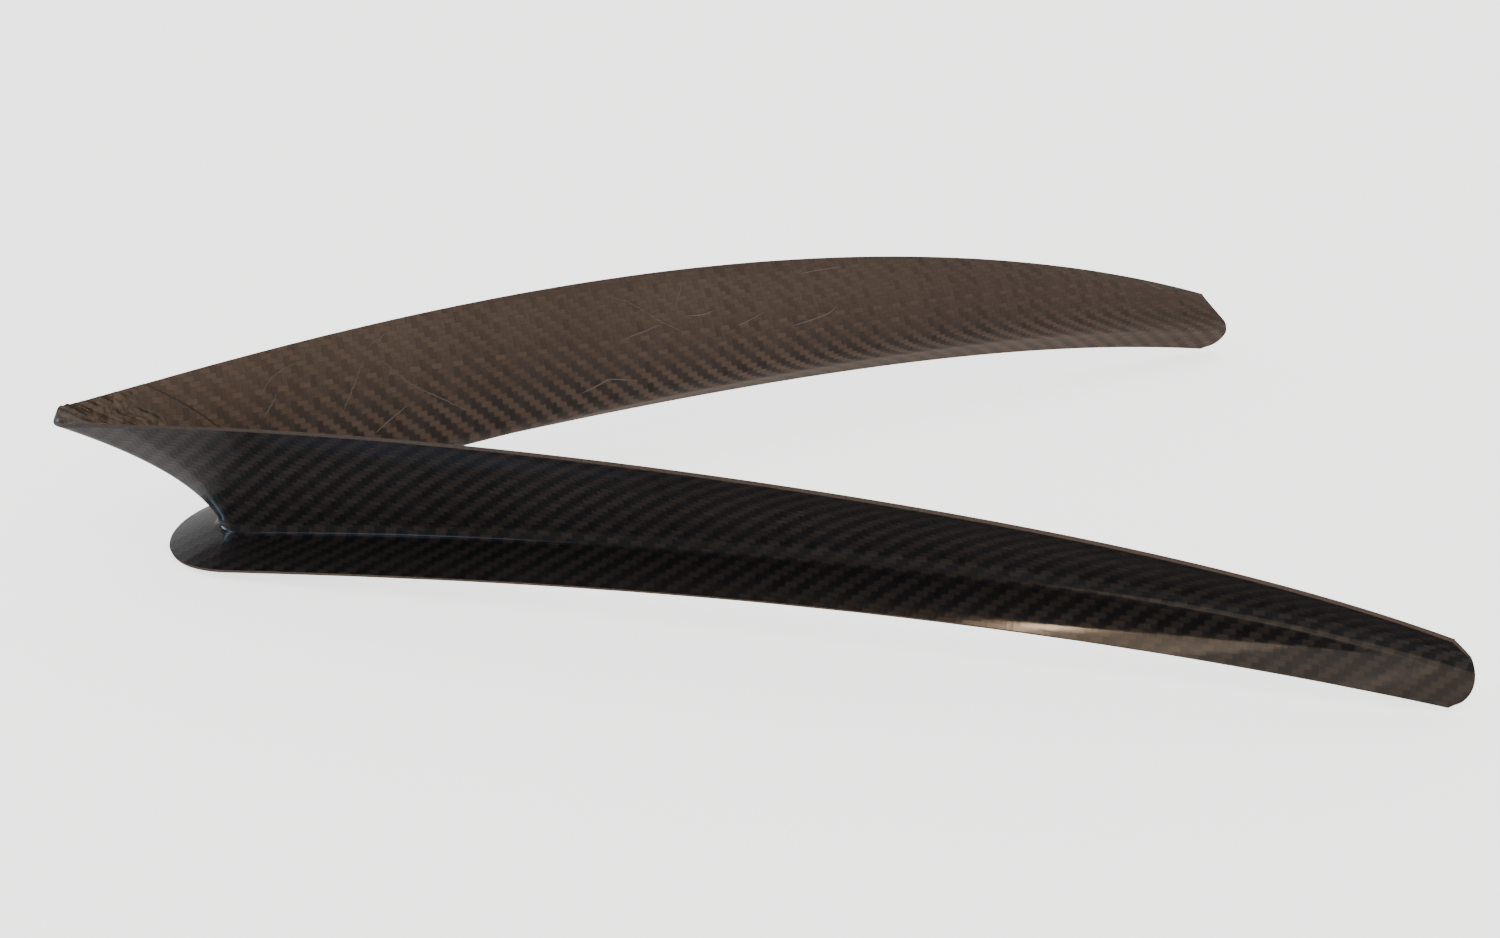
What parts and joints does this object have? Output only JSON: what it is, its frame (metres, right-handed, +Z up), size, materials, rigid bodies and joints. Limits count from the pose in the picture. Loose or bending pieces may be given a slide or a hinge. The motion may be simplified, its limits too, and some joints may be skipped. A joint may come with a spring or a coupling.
{
  "type": "boat spray deflector",
  "caption": "V-shaped spray deflector moulded in carbon twill, with flared walls that meet in an overhanging prow and a bonding flange round the outside.",
  "frame": {"origin": "on the surface it stands on, under the middle of its bounding box", "axes": "+X aft along the centre line, -X is the prow, +Y starboard and the axis of mirror symmetry, +Z up"},
  "size_m": [0.4456, 0.2998, 0.062],
  "materials": {
    "mould_side_twill": "carbon twill under a glossy clear coat",
    "bag_side_twill": "carbon twill, satin resin with the bag's wrinkles",
    "middle_cloth": "carbon cloth in epoxy, seen only at the cut edges",
    "resin": "epoxy thickened with short fibre"
  },
  "bodies": {
    "root": {"inner_twill_port": "bag_side_twill", "inner_twill_starboard": "bag_side_twill", "middle_ply_1_port": "middle_cloth", "middle_ply_1_starboard": "middle_cloth", "middle_ply_2_port": "middle_cloth", "middle_ply_2_starboard": "middle_cloth", "middle_ply_3_port": "middle_cloth", "middle_ply_3_starboard": "middle_cloth", "outer_twill_port": "mould_side_twill", "outer_twill_starboard": "mould_side_twill", "nose_patch": "bag_side_twill", "nose_filler": "resin"}
  },
  "joints": []
}
